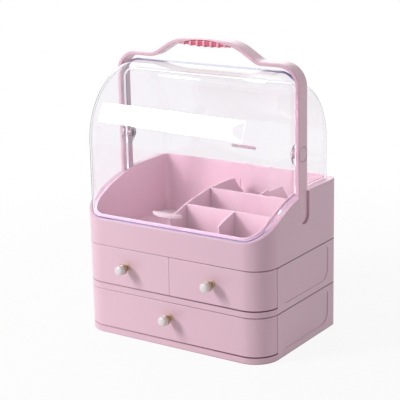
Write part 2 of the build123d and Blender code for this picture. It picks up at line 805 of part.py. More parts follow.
# Rear cover: the inner one; it runs on under the front cover, and its heel clears the ledge as it turns
heel_radius = pivot_z - ledge_pivot_z - heel_clearance
rear_inner_x = rear_cover_x - cover_wall
with BuildPart() as rear_void:
    domed_block(
        rear_inner_x, rear_dome_radius - cover_wall, rear_cover_corner - cover_wall, 1, rear_cover_overlap,
    )

with BuildPart() as rear_cover:
    domed_block(rear_cover_x, rear_dome_radius, rear_cover_corner, 1, rear_cover_overlap)
    add(rear_void.part, mode=Mode.SUBTRACT)
    with BuildSketch(Plane.YZ.offset(-half_width)):
        add(above_ledge(rear_cover_ledge_gap))
    extrude(amount=case_width, mode=Mode.INTERSECT)
    with BuildSketch(Plane.YZ.offset(-half_width)):
        with Locations((pivot_y - heel_radius / 2, pivot_z - heel_radius)):
            Rectangle(heel_radius, 2 * heel_radius)
        with Locations((pivot_y, pivot_z)):
            Circle(heel_radius, mode=Mode.SUBTRACT)
            Rectangle(2 * heel_radius, ear_radius, mode=Mode.SUBTRACT)
    extrude(amount=case_width, mode=Mode.SUBTRACT)
    ears(rear_inner_x)
rear_cover.part.label = "rear_cover"
export_step(rear_cover.part, "parts/rear_cover.step")

# Lift tabs: flat half-moons stuck to the covers' walls
tabs = (
    ("front_tab", front_tab_width, front_y + front_cover_setback, -front_tab_reach,
     ledge_front_z + front_tab_rise),
    ("rear_tab", rear_tab_width, rear_y - rear_cover_setback, rear_tab_reach,
     ledge_top + rear_tab_rise),
)
for name, width, root_y, reach, height in tabs:
    with BuildPart() as tab:
        with BuildSketch(Plane.XY.offset(height)):
            with BuildLine():
                ThreePointArc((-width / 2, root_y), (0, root_y + reach), (width / 2, root_y))
                Line((-width / 2, root_y), (width / 2, root_y))
            make_face()
        extrude(amount=tab_thickness)
        outer_edges = tab.edges().filter_by(Plane.XY).filter_by(GeomType.CIRCLE)
        fillet(outer_edges, tab_round)
    tab.part.label = name
    export_step(tab.part, "parts/" + name + ".step")

# Dividers: plates that drop between guide ribs, under one curved top line
divider_front_y = basin_front_y + divider_end_gap
divider_rear_y = basin_rear_y - divider_end_gap
cross_left_x = divider_thickness / 2 + divider_end_gap
cross_right_x = basin_x - divider_end_gap
short_front_end_y = cross_front_y - divider_thickness / 2 - divider_end_gap
short_rear_start_y = cross_rear_y + divider_thickness / 2 + divider_end_gap


def lengthwise_plate(centre_x, start_y, end_y, drop=0.0, heel=False):
    """Plate that runs front to rear under the curved line; a heel slopes down to the rear wall."""
    heel_y = rear_y - divider_heel_from_rear
    top_end_y = heel_y if heel else end_y
    middle_y = (start_y + top_end_y) / 2
    heights = [divider_height(y - front_y, drop) for y in (start_y, middle_y, top_end_y)]
    with BuildSketch(Plane.YZ.offset(centre_x)) as side_view:
        with BuildLine() as edge:
            crown = ThreePointArc(
                (start_y, heights[0]), (middle_y, heights[1]), (top_end_y, heights[2]),
            )
            end = crown @ 1
            if heel:
                end = Line(crown @ 1, (end_y, basin_floor + divider_heel_rise)) @ 1
            Polyline(end, (end_y, divider_low), (start_y, divider_low), crown @ 0)
        make_face()
    extrude(side_view.sketch, amount=divider_thickness / 2, both=True)


lengthwise = (
    ("divider_long", 0.0, divider_front_y, divider_rear_y, 0.0, True),
    ("divider_short_front", short_divider_x, divider_front_y, short_front_end_y, 0.0, False),
    ("divider_short_rear", short_divider_x, short_rear_start_y, divider_rear_y, short_rear_drop, True),
)
for name, centre_x, start_y, end_y, drop, heel in lengthwise:
    with BuildPart() as plate:
        lengthwise_plate(centre_x, start_y, end_y, drop, heel)
        if name == "divider_long":
            guide_ribs(divider_thickness / 2, cross_front_y, (1, 0))
            guide_ribs(divider_thickness / 2, cross_rear_y, (1, 0))
    plate.part.label = name
    export_step(plate.part, "parts/" + name + ".step")

crosswise = (
    ("divider_cross_front", cross_front_y, cross_front_from_front, -1),
    ("divider_cross_rear", cross_rear_y, cross_rear_from_front, 1),
)
for name, centre_y, depth, toward in crosswise:
    faces = (centre_y - divider_thickness / 2, centre_y + divider_thickness / 2)
    with BuildPart() as cross:
        block((cross_left_x, cross_right_x), faces, (divider_low, divider_height(depth)))
        guide_ribs(short_divider_x, faces[0] if toward < 0 else faces[1], (0, toward))
    cross.part.label = name
    export_step(cross.part, "parts/" + name + ".step")
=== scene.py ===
# %% [markdown]
# # A pink makeup case, dressed around its CAD frame
#
# The object is a tiered cosmetics case in pale pink moulded plastic. It has three drawers, an open
# basin with upright dividers, two clear domed covers on one pivot, and a flat carrying bail with a
# red ribbed grip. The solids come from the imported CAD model. This script gives them their finishes,
# adds the finer shapes as surfaces worked out with numpy, and sets up the floor, the lamps and the
# camera.

# %% Load the frame
import json
from math import cos, pi, radians, sin

import bpy
import numpy as np
from mathutils import Matrix


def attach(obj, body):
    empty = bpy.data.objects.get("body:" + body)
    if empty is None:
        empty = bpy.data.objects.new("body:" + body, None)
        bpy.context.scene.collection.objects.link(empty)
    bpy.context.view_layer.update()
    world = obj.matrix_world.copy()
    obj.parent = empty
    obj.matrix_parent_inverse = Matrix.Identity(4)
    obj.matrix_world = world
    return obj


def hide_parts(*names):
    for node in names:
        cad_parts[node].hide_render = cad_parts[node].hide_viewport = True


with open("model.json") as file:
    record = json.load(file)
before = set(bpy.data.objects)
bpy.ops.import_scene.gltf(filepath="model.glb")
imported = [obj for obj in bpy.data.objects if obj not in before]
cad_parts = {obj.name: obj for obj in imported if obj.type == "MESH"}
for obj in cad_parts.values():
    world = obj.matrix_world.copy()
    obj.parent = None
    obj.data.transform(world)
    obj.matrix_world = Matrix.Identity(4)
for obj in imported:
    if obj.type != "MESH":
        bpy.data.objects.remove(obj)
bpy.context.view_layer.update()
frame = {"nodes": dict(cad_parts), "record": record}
nodes = frame["nodes"]
mm = 0.001

# %% [markdown]
# ## The camera
#
# The photograph was taken with a long lens from the front right, a little above the case. The camera
# could be placed by eye, but a fit of known edges gave its azimuth, elevation, distance and slight
# roll, so those four numbers are written down and the matrix is built from them. The vector `back`
# points from the target to the camera.

# %% Camera
CAMERA_AZIMUTH = radians(33.971)
CAMERA_ELEVATION = radians(15.538)
CAMERA_ROLL = radians(-1.261)
CAMERA_DISTANCE = 1.7274
CAMERA_TARGET = np.array([-0.01215, -0.0003, 0.1712])
SENSOR_WIDTH = 36.0
FOCAL_PIXELS = 1324.4
IMAGE_PIXELS = 400


def camera_axes(azimuth, elevation, roll):
    """Right, up and back vectors of a camera.

    Back is (sin a cos e, -cos a cos e, sin e) and right is (cos a, sin a, 0); up is back cross
    right. The roll then turns right and up about back.
    """
    back = np.array([sin(azimuth) * cos(elevation), -cos(azimuth) * cos(elevation), sin(elevation)])
    right = np.array([cos(azimuth), sin(azimuth), 0.0])
    up = np.cross(back, right)
    turned_right = cos(roll) * right + sin(roll) * up
    turned_up = cos(roll) * up - sin(roll) * right
    return turned_right, turned_up, back


def placed(x_axis, y_axis, z_axis, location):
    """A 4 by 4 matrix from three axes and a place."""
    matrix = np.eye(4)
    matrix[:3, 0], matrix[:3, 1], matrix[:3, 2], matrix[:3, 3] = x_axis, y_axis, z_axis, location
    return Matrix(matrix.tolist())


right, up, back = camera_axes(CAMERA_AZIMUTH, CAMERA_ELEVATION, CAMERA_ROLL)
camera_data = bpy.data.cameras.new("camera")
camera_data.sensor_width = SENSOR_WIDTH
camera_data.lens = FOCAL_PIXELS * SENSOR_WIDTH / IMAGE_PIXELS
camera_data.clip_end = 50.0
camera = bpy.data.objects.new("camera", camera_data)
bpy.context.collection.objects.link(camera)
camera.matrix_world = placed(right, up, back, CAMERA_TARGET + CAMERA_DISTANCE * back)
bpy.context.scene.camera = camera
bpy.context.scene.view_settings.view_transform = "Standard"
print("lens", round(camera_data.lens, 2), "mm")

# %% [markdown]
# ## Surfaces from numpy
#
# Every added piece is a tube: rings of points worked out as whole arrays, then handed to a mesh in
# one go. They could be modelled by hand, but as arrays each shape stays one short formula. Two
# helpers are enough. One lists the tube's faces, and the other makes the mesh object from points,
# faces and an optional value at each point. A third gives the rounded sections.

# %% Grid helpers
def tube_faces(points):
    """Faces of a tube whose points are stored ring by ring.

    Point (i, j) has the number i * columns + j. Each side face joins it to its neighbours at i + 1
    and j + 1, where the last j goes on to the first, and one face closes each end.
    """
    rows, columns = points.shape[:2]
    i = np.arange(rows - 1)[:, None]
    j = np.arange(columns)[None, :]
    next_j = (j + 1) % columns
    corners = (i * columns + j, i * columns + next_j, (i + 1) * columns + next_j, (i + 1) * columns + j)
    sides = np.stack([np.broadcast_to(c, (i.size, j.size)) for c in corners], axis=-1).reshape(-1, 4)
    first_end = list(range(columns - 1, -1, -1))
    last_end = list(range((rows - 1) * columns, rows * columns))
    return sides.tolist() + [first_end, last_end]


def rounded_section(turn, power):
    """Cosine and sine of a turn, each with its sign kept and its size raised to a power.

    As two coordinates they draw a superellipse: a circle at a power of 1, a square towards 0.
    """
    return [np.sign(wave) * np.abs(wave) ** power for wave in (np.cos(turn), np.sin(turn))]


def mesh_piece(name, points, material, body, values=None):
    """Make a smooth tube object from its points and let it ride on a body."""
    mesh = bpy.data.meshes.new(name)
    mesh.from_pydata(points.reshape(-1, 3), [], tube_faces(points))
    mesh.polygons.foreach_set("use_smooth", np.ones(len(mesh.polygons), dtype=bool))
    for label, array in (values or {}).items():
        attribute = mesh.attributes.new(label, "FLOAT", "POINT")
        attribute.data.foreach_set("value", array.ravel().astype(np.float32))
    mesh.materials.append(material)
    mesh.update()
    piece = bpy.data.objects.new(name, mesh)
    bpy.context.collection.objects.link(piece)
    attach(piece, body)
    print(name, len(mesh.vertices), "points,", len(mesh.polygons), "faces")
    return piece


# %% [markdown]
# ## Shared effects
#
# Moulded plastic is never perfectly flat or even. It has a fine satin grain from the tool, and very
# slow waves where thick and thin places cooled at different rates. Both are noise on Object
# coordinates, so they stay put when a drawer slides. A second group rounds the corners that a
# solid leaves sharp: the Bevel node reads a softened normal, and where that differs from the true
# one there is an edge, which is painted a little paler as a highlight.

# %% Node group helpers
def new_group(name, inputs, outputs):
    """Start a shader node group with named sockets and return it with its input and output nodes."""
    group = bpy.data.node_groups.new(name, "ShaderNodeTree")
    for label, kind, default in inputs:
        socket = group.interface.new_socket(label, in_out="INPUT", socket_type="NodeSocket" + kind)
        if default is not None:
            socket.default_value = default
    for label, kind in outputs:
        group.interface.new_socket(label, in_out="OUTPUT", socket_type="NodeSocket" + kind)
    return group, group.nodes.new("NodeGroupInput"), group.nodes.new("NodeGroupOutput")


def add_node(tree, kind, inputs=None, **settings):
    """Add a node, set its properties, and fill its inputs with values or links."""
    node = tree.nodes.new("ShaderNode" + kind)
    for label, value in settings.items():
        setattr(node, label, value)
    for label, value in (inputs or {}).items():
        if isinstance(value, bpy.types.NodeSocket):
            tree.links.new(value, node.inputs[label])
        else:
            node.inputs[label].default_value = value
    return node


# %% Moulded skin group
skin_group, skin_in, skin_out = new_group(
    "moulded_skin",
    [("Vector", "Vector", None), ("Grain Size", "Float", 1800.0), ("Wave Size", "Float", 14.0)],
    [("Grain", "Float"), ("Height", "Float"), ("Cloud", "Float")],
)
grain = add_node(skin_group, "TexNoise", {
    "Vector": skin_in.outputs["Vector"], "Scale": skin_in.outputs["Grain Size"],
    "Detail": 2.0, "Roughness": 0.55,
})
wave = add_node(skin_group, "TexNoise", {
    "Vector": skin_in.outputs["Vector"], "Scale": skin_in.outputs["Wave Size"],
    "Detail": 1.0, "Roughness": 0.4,
})
grain_share = add_node(skin_group, "Math", {0: grain.outputs["Fac"], 1: 0.012}, operation="MULTIPLY")
skin_height = add_node(
    skin_group, "Math", {0: wave.outputs["Fac"], 1: grain_share.outputs[0]}, operation="ADD",
)
skin_group.links.new(grain.outputs["Fac"], skin_out.inputs["Grain"])
skin_group.links.new(skin_height.outputs[0], skin_out.inputs["Height"])
skin_group.links.new(wave.outputs["Fac"], skin_out.inputs["Cloud"])

# %% Soft edge group
edge_group, edge_in, edge_out = new_group(
    "soft_edge_painted_highlight", [("Radius", "Float", 0.0008), ("Gain", "Float", 5.0)],
    [("Normal", "Vector"), ("Edge", "Float")],
)
softened = add_node(edge_group, "Bevel", {"Radius": edge_in.outputs["Radius"]}, samples=4)
true_normal = add_node(edge_group, "NewGeometry")
likeness = add_node(edge_group, "VectorMath", {
    0: softened.outputs["Normal"], 1: true_normal.outputs["Normal"],
}, operation="DOT_PRODUCT")
difference = add_node(
    edge_group, "Math", {0: 1.0, 1: likeness.outputs["Value"]}, operation="SUBTRACT",
)
# The Edge output masks a highlight painted on the edges.
edge_highlight_mask = add_node(
    edge_group, "Math", {0: difference.outputs[0], 1: edge_in.outputs["Gain"]},
    operation="MULTIPLY", use_clamp=True,
)
edge_group.links.new(softened.outputs["Normal"], edge_out.inputs["Normal"])
edge_group.links.new(edge_highlight_mask.outputs[0], edge_out.inputs["Edge"])

# %% [markdown]
# The case is moulded in tiers, and where two parts meet there is a narrow gap that light hardly
# reaches. The gaps are in the solids already, but the shade round them reads wider than the gaps
# are, so a third group gives a mask of painted shade that is 1 on a seam and fades within a
# millimetre. It takes the heights of three seams that go all round and of two that only run across
# the drawers' fronts, and the depth of one upright seam on the outer sides. The painted shade grows
# from left to right, because the left seams face the light and look shallow.

# %% Seam group
DRAWER_END_Y = -61.0 * mm
FAR_AWAY = 1.0
seam_shade_group, seam_shade_in, seam_shade_out = new_group(
    "tier_seams_painted_shade",
    [("Vector", "Vector", None), ("Height 1", "Float", 0.0), ("Height 2", "Float", 0.0),
     ("Height 3", "Float", 0.0), ("Front Height 1", "Float", FAR_AWAY),
     ("Front Height 2", "Float", FAR_AWAY), ("Front End Y", "Float", DRAWER_END_Y),
     ("End Y", "Float", FAR_AWAY), ("Side X", "Float", 0.137), ("Half Width", "Float", 0.0013)],
    [("Mask", "Float")],
)


def seam_math(operation, first, second=0.0, **settings):
    """One Math node in the seam group, by its operation and two numbers or sockets."""
    return add_node(seam_shade_group, "Math", {0: first, 1: second}, operation=operation, **settings).outputs[0]


# The mask of painted shade: 1 on a seam, fading within the half width.
seam_place = add_node(seam_shade_group, "SeparateXYZ", {"Vector": seam_shade_in.outputs["Vector"]}).outputs
from_end = seam_math("ABSOLUTE", seam_math("SUBTRACT", seam_place["Y"], seam_shade_in.outputs["End Y"]))
from_side = seam_math("SUBTRACT", seam_shade_in.outputs["Side X"], seam_math("ABSOLUTE", seam_place["X"]))
nearest_seam = seam_math("MAXIMUM", from_end, from_side)
for number in (1, 2, 3):
    offset = seam_math("SUBTRACT", seam_place["Z"], seam_shade_in.outputs[f"Height {number}"])
    nearest_seam = seam_math("MINIMUM", nearest_seam, seam_math("ABSOLUTE", offset))
past_front = seam_math("SUBTRACT", seam_place["Y"], seam_shade_in.outputs["Front End Y"])
past_front = seam_math("MAXIMUM", past_front, 0.0)
for number in (1, 2):
    offset = seam_math("SUBTRACT", seam_place["Z"], seam_shade_in.outputs[f"Front Height {number}"])
    offset = seam_math("ADD", seam_math("ABSOLUTE", offset), past_front)
    nearest_seam = seam_math("MINIMUM", nearest_seam, offset)
seam_fade = add_node(seam_shade_group, "MapRange", {
    "Value": nearest_seam, "From Min": 0.0002, "From Max": seam_shade_in.outputs["Half Width"],
    "To Min": 1.0, "To Max": 0.0,
}, interpolation_type="SMOOTHSTEP")
# The painted shade is weaker on the left, where the seams face the light.
seam_shade_ramp = add_node(seam_shade_group, "MapRange", {
    "Value": seam_place["X"], "From Min": -0.14, "From Max": 0.12, "To Min": 0.2, "To Max": 1.0,
})
seam_shade_group.links.new(
    seam_math("MULTIPLY", seam_fade.outputs["Result"], seam_shade_ramp.outputs["Result"]),
    seam_shade_out.inputs["Mask"],
)

# %% [markdown]
# The cap on the pivot is let into the bail's arm, and only a fine round line of shade shows where it
# sits. The last group paints that line as shade: a ring at the cap's radius round the pivot, seen
# along X.

# %% Pivot ring group
PIVOT_PLACE = (0.0, 7.5 * mm, 248.0 * mm)
PIVOT_CAP_RADIUS = 9.5 * mm
ring_shade_group, ring_in, ring_out = new_group(
    "pivot_ring_painted_shade",
    [("Vector", "Vector", None), ("Centre", "Vector", PIVOT_PLACE), ("Radius", "Float", PIVOT_CAP_RADIUS)],
    [("Mask", "Float")],
)
from_pivot = add_node(ring_shade_group, "VectorMath", {
    0: ring_in.outputs["Vector"], 1: ring_in.outputs["Centre"],
}, operation="SUBTRACT")
flattened = add_node(ring_shade_group, "VectorMath", {
    0: from_pivot.outputs["Vector"], 1: (0.0, 1.0, 1.0),
}, operation="MULTIPLY")
pivot_reach = add_node(ring_shade_group, "VectorMath", {0: flattened.outputs["Vector"]}, operation="LENGTH")
off_ring = add_node(ring_shade_group, "Math", {
    0: pivot_reach.outputs["Value"], 1: ring_in.outputs["Radius"],
}, operation="SUBTRACT")
beside_ring = add_node(ring_shade_group, "Math", {0: off_ring.outputs[0]}, operation="ABSOLUTE")
# The ring's mask marks painted shade round the pivot cap.
ring_fade = add_node(ring_shade_group, "MapRange", {
    "Value": beside_ring.outputs[0], "From Min": 0.0002, "From Max": 0.0009, "To Min": 1.0, "To Max": 0.0,
}, interpolation_type="SMOOTHSTEP")
ring_shade_group.links.new(ring_fade.outputs["Result"], ring_out.inputs["Mask"])
print("groups:", [group.name for group in bpy.data.node_groups])

# %% [markdown]
# ## Finishes
#
# Each finish is one material with its own Principled BSDF. Plain numbers sit on the shader's own
# sockets, and only what changes over the surface is linked: the base colour, the roughness and the
# normal. The colours are linear values of what the photograph shows under plain light.

# %% Material helpers
def linear(red, green, blue):
    """Linear colour of an sRGB colour from 0 to 255: ((c + 0.055) / 1.055) to the power 2.4."""
    share = np.array([red, green, blue]) / 255.0
    value = np.where(share <= 0.04045, share / 12.92, ((share + 0.055) / 1.055) ** 2.4)
    return (*value.tolist(), 1.0)


def new_material(name, **sockets):
    """A material with its tree, its Principled BSDF and Object coordinates."""
    material = bpy.data.materials.new(name)
    material.use_nodes = True
    tree = material.node_tree
    shader = tree.nodes["Principled BSDF"]
    for label, value in sockets.items():
        shader.inputs[label.replace("_", " ")].default_value = value
    place = tree.nodes.new("ShaderNodeTexCoord").outputs["Object"]
    return material, tree, shader, place


def place_group(tree, group, **sockets):
    """Place a shared node group in a material and set its inputs."""
    node = tree.nodes.new("ShaderNodeGroup")
    node.node_tree = group
    for label, value in sockets.items():
        socket = node.inputs[label.replace("_", " ")]
        if isinstance(value, bpy.types.NodeSocket):
            tree.links.new(value, socket)
        else:
            socket.default_value = value
    return node


def remap(tree, value, low, high):
    """Stretch a 0 to 1 value between two numbers."""
    node = add_node(tree, "MapRange", {"Value": value, "To Min": low, "To Max": high})
    return node.outputs["Result"]


def blend_colours(tree, share, first, second):
    """Blend two colours, numbers or sockets, by a share from 0 to 1."""
    node = tree.nodes.new("ShaderNodeMix")
    node.data_type = "RGBA"
    for socket, value in ((node.inputs[0], share), (node.inputs[6], first), (node.inputs[7], second)):
        if isinstance(value, bpy.types.NodeSocket):
            tree.links.new(value, socket)
        else:
            socket.default_value = value
    return node.outputs[2]


# %% Moulded plastics
# The next two colours are painted shade: on the seams and on the line round the pivot cap.
SEAM_SHADE_COLOUR = linear(92, 10, 42)
RING_SHADE_COLOUR = linear(176, 124, 144)
GRAIN_ROUGHNESS = 0.05
gloss = {"Coat_Weight": 0.35, "Coat_Roughness": 0.2}


def moulded_plastic(
    name, colour, shade, edge_highlight_colour, roughness,
    seams=(), front_seams=(), end_y=FAR_AWAY, ring=False, **sockets,
):
    """Satin plastic: slow colour clouds, paler edges, dark seams, fine grain in roughness and bump.

    Edges are painted paler as a highlight, and seams, and with `ring` the pivot cap's line, are painted
    dark as shade. Seam heights are in millimetres, and further sockets of the shader are given by name.
    """
    material, tree, shader, place = new_material(name, **sockets)
    skin = place_group(tree, skin_group, Vector=place)
    edge = place_group(tree, edge_group)
    clouds = blend_colours(tree, skin.outputs["Cloud"], colour, shade)
    # Edges are painted paler as a highlight.
    body_colour = blend_colours(tree, edge.outputs["Edge"], clouds, edge_highlight_colour)
    if seams:
        heights = {f"Height_{number}": height * mm for number, height in enumerate(seams, 1)}
        heights |= {f"Front_Height_{number}": height * mm for number, height in enumerate(front_seams, 1)}
        # The seams are painted dark as shade.
        seam_shade = place_group(tree, seam_shade_group, Vector=place, End_Y=end_y, **heights)
        body_colour = blend_colours(tree, seam_shade.outputs["Mask"], body_colour, SEAM_SHADE_COLOUR)
    if ring:
        # The line round the pivot cap is painted dark as shade.
        groove_shade = place_group(tree, ring_shade_group, Vector=place)
        body_colour = blend_colours(tree, groove_shade.outputs["Mask"], body_colour, RING_SHADE_COLOUR)
    bump = add_node(tree, "Bump", {
        "Strength": 0.3, "Distance": 0.0006,
        "Height": skin.outputs["Height"], "Normal": edge.outputs["Normal"],
    })
    grained = remap(
        tree, skin.outputs["Grain"], roughness - GRAIN_ROUGHNESS, roughness + GRAIN_ROUGHNESS,
    )
    tree.links.new(body_colour, shader.inputs["Base Color"])
    tree.links.new(grained, shader.inputs["Roughness"])
    tree.links.new(bump.outputs["Normal"], shader.inputs["Normal"])
    return material


# The third colour of each plastic is the highlight painted on its edges.
pink_case = moulded_plastic(
    "pink_case_plastic", linear(230, 194, 209), linear(227, 188, 204), linear(240, 214, 224), 0.36,
    seams=(0.0, 60.0, 120.3), front_seams=(8.9, 68.9), **gloss,
)
pink_drawer = moulded_plastic(
    "pink_drawer_plastic", linear(231, 196, 210), linear(228, 190, 205), linear(240, 215, 225), 0.34,
    seams=(9.2, 69.2), end_y=DRAWER_END_Y, **gloss,
)
pink_bail = moulded_plastic(
    "pink_bail_plastic", linear(230, 187, 204), linear(226, 180, 198), linear(246, 224, 232), 0.34,
    ring=True, Coat_Weight=0.8, Coat_Roughness=0.25,
)
pale_tab = moulded_plastic(
    "pale_tab_plastic", linear(247, 222, 232), linear(243, 214, 226), linear(252, 238, 244), 0.28,
    Subsurface_Weight=0.5, Subsurface_Scale=0.004,
)

# %% [markdown]
# The knobs' gold necks are turned, so fine rings run round them, and their polish changes from ring
# to ring. The screws are plain steel. Metal has no body colour of its own: what is set is the colour
# of its reflections.

# %% Knobs and screws
knob_white = moulded_plastic(
    "ivory_knob", linear(236, 231, 230), linear(228, 222, 222), linear(246, 243, 242), 0.26,
    Coat_Weight=0.35, Coat_Roughness=0.12,
)
gold, gold_tree, gold_shader, gold_place = new_material("gold_neck", Metallic=1.0)
gold_rings = add_node(gold_tree, "TexWave", {
    "Vector": gold_place, "Scale": 900.0, "Distortion": 0.6, "Detail": 1.0,
}, wave_type="BANDS", bands_direction="Y")
gold_tree.links.new(
    blend_colours(gold_tree, gold_rings.outputs["Fac"], linear(184, 164, 130), linear(158, 138, 104)),
    gold_shader.inputs["Base Color"],
)
gold_polish = remap(gold_tree, gold_rings.outputs["Fac"], 0.3, 0.42)
gold_tree.links.new(gold_polish, gold_shader.inputs["Roughness"])
steel, steel_tree, steel_shader, steel_place = new_material("steel_screw_metal", Metallic=1.0)
steel_grain = add_node(steel_tree, "TexNoise", {"Vector": steel_place, "Scale": 900.0, "Detail": 3.0})
steel_tree.links.new(
    blend_colours(steel_tree, steel_grain.outputs["Fac"], linear(188, 188, 192), linear(160, 160, 166)),
    steel_shader.inputs["Base Color"],
)
steel_polish = remap(steel_tree, steel_grain.outputs["Fac"], 0.28, 0.45)
steel_tree.links.new(steel_polish, steel_shader.inputs["Roughness"])

# %% [markdown]
# ## The clear covers
#
# The covers are clear moulded plastic, two millimetres thick. They are real glass to the light: a
# Principled BSDF with full transmission bends each ray at both faces. Two things make such a shell
# look right. Its outline goes grey where the eye looks along the wall, and this grey is painted
# shade, given by Layer Weight. And its cut edges gather light and shine lilac, which is painted on as
# a lilac line with a painted glow, so a group works out how near a point is to the foot, which follows
# the curved ledge, and to the free edge beside the bail. The line is brightest across the front and
# fades to a share of that along the sides. Shadow rays would stop at the shell, so for them alone the
# material is plainly transparent, picked with Light Path.

# %% Cover edge group
LEDGE_FLAT_Y = 43.0 * mm
LEDGE_RADIUS = 223.0 * mm
LEDGE_TOP = 200.5 * mm
cover_group, cover_in, cover_out = new_group(
    "cover_edges",
    [("Vector", "Vector", None), ("Edge Y", "Float", 0.006), ("Line Width", "Float", 0.0018),
     ("Band Width", "Float", 0.005), ("Side Share", "Float", 1.0)],
    [("Line", "Float"), ("Band", "Float")],
)


def cover_math(operation, first, second=0.0):
    """One Math node in the cover group, by its operation and two numbers or sockets."""
    return add_node(cover_group, "Math", {0: first, 1: second}, operation=operation).outputs[0]


cover_place = add_node(cover_group, "SeparateXYZ", {"Vector": cover_in.outputs["Vector"]}).outputs
fall_y = cover_math("MINIMUM", cover_math("SUBTRACT", cover_place["Y"], LEDGE_FLAT_Y), 0.0)
fall_z = cover_math("SUBTRACT", cover_place["Z"], LEDGE_TOP - LEDGE_RADIUS)
fall = add_node(cover_group, "CombineXYZ", {"Y": fall_y, "Z": fall_z})
reach = add_node(cover_group, "VectorMath", {0: fall.outputs["Vector"]}, operation="LENGTH")
above_foot = cover_math("SUBTRACT", reach.outputs["Value"], LEDGE_RADIUS)
from_edge = cover_math("SUBTRACT", cover_place["Y"], cover_in.outputs["Edge Y"])
nearest = cover_math("MINIMUM", above_foot, cover_math("ABSOLUTE", from_edge))
near_line, near_band = [
    add_node(cover_group, "MapRange", {
        "Value": nearest, "From Min": 0.0003, "From Max": cover_in.outputs[label + " Width"],
        "To Min": 1.0, "To Max": 0.0,
    }, interpolation_type="SMOOTHSTEP").outputs["Result"]
    for label in ("Line", "Band")
]
towards_front = add_node(cover_group, "MapRange", {
    "Value": cover_place["Y"], "From Min": -0.085, "From Max": -0.05,
    "To Min": 1.0, "To Max": cover_in.outputs["Side Share"],
}, interpolation_type="SMOOTHSTEP").outputs["Result"]
cover_group.links.new(cover_math("MULTIPLY", near_line, towards_front), cover_out.inputs["Line"])
cover_group.links.new(near_band, cover_out.inputs["Band"])


# %% Clear cover materials
NO_GLOW = (0.0, 0.0, 0.0, 1.0)
WALL_TINT = (0.955, 0.945, 0.965, 1.0)
WALL_TINT_PALE = (0.966, 0.958, 0.974, 1.0)
OUTLINE_SHADE_TINT = (0.26, 0.27, 0.3, 1.0)
SHADOW_TINT = (0.84, 0.82, 0.84, 1.0)
OUTLINE_START, OUTLINE_FULL, OUTLINE_SHARE = 0.72, 0.9, 0.85
UPRIGHT_BELOW, LEVEL_ABOVE = 0.45, 0.8


def clear_cover(name, edge_y, side_share, line_colour, painted_line_glow, band_colour):
    """Clear plastic with grey outlines, edges that shine in `painted_line_glow` and a tinted band beside
    them.

    The grey outline is painted shade and the edges' glow is painted light. The outline mask is high
    where the wall is seen edge on, but not on the flat top of the dome.
    """
    material, tree, shader, place = new_material(
        name, Transmission_Weight=1.0, IOR=1.49, Emission_Strength=1.0,
    )
    haze = add_node(tree, "TexNoise", {"Vector": place, "Scale": 9.0, "Detail": 1.0}).outputs["Fac"]
    edges = place_group(tree, cover_group, Vector=place, Edge_Y=edge_y, Side_Share=side_share)
    wall = blend_colours(tree, haze, WALL_TINT, WALL_TINT_PALE)
    banded = blend_colours(tree, edges.outputs["Band"], wall, band_colour)
    lined = blend_colours(tree, edges.outputs["Line"], banded, line_colour)
    # The edge line glows from emission: painted light, though the cover is no lamp.
    glow = blend_colours(tree, edges.outputs["Line"], NO_GLOW, painted_line_glow)
    tree.links.new(lined, shader.inputs["Base Color"])
    tree.links.new(glow, shader.inputs["Emission Color"])
    tree.links.new(remap(tree, haze, 0.0, 0.02), shader.inputs["Roughness"])
    facing = add_node(tree, "LayerWeight", {"Blend": 0.5}).outputs["Facing"]
    edge_on = add_node(tree, "MapRange", {
        "Value": facing, "From Min": OUTLINE_START, "From Max": OUTLINE_FULL,
    }, interpolation_type="SMOOTHSTEP").outputs["Result"]
    normal = add_node(tree, "NewGeometry").outputs["Normal"]
    tilt = add_node(tree, "SeparateXYZ", {"Vector": normal}).outputs["Z"]
    level = add_node(tree, "Math", {0: tilt}, operation="ABSOLUTE").outputs[0]
    upright = add_node(tree, "MapRange", {
        "Value": level, "From Min": UPRIGHT_BELOW, "From Max": LEVEL_ABOVE,
        "To Min": OUTLINE_SHARE, "To Max": 0.0,
    }, interpolation_type="SMOOTHSTEP").outputs["Result"]
    # The grey outline is painted shade, a grey see-through filter where the wall is seen edge on.
    outline = add_node(tree, "Math", {0: edge_on, 1: upright}, operation="MULTIPLY").outputs[0]
    grey_filter = add_node(tree, "BsdfTransparent", {"Color": OUTLINE_SHADE_TINT}).outputs["BSDF"]
    outlined = add_node(tree, "MixShader", {0: outline, 1: shader.outputs["BSDF"], 2: grey_filter})
    shadow_ray = add_node(tree, "LightPath").outputs["Is Shadow Ray"]
    see_through = add_node(tree, "BsdfTransparent", {"Color": SHADOW_TINT}).outputs["BSDF"]
    picked = add_node(tree, "MixShader", {0: shadow_ray, 1: outlined.outputs["Shader"], 2: see_through})
    tree.links.new(picked.outputs["Shader"], tree.nodes["Material Output"].inputs["Surface"])
    return material


FRONT_COVER_EDGE_Y, REAR_COVER_EDGE_Y = 6.0 * mm, 1.0 * mm
clear_front = clear_cover(
    "clear_front_cover", FRONT_COVER_EDGE_Y, 0.3,
    (0.6, 0.56, 0.84, 1.0), (0.14, 0.12, 0.24, 1.0), (0.88, 0.84, 0.92, 1.0),
)
clear_rear = clear_cover(
    "clear_rear_cover", REAR_COVER_EDGE_Y, 1.0,
    (0.95, 0.94, 0.96, 1.0), (0.7, 0.68, 0.71, 1.0), (0.96, 0.955, 0.965, 1.0),
)

# %% [markdown]
# The round bosses inside the covers, at the pivot, are clear too. They have no cut edge, so theirs is
# put far away and their line and band never show.

# %% Clear boss material
PLAIN_WHITE = (1.0, 1.0, 1.0, 1.0)
clear_boss = clear_cover("clear_pivot_boss", FAR_AWAY, 1.0, PLAIN_WHITE, NO_GLOW, PLAIN_WHITE)

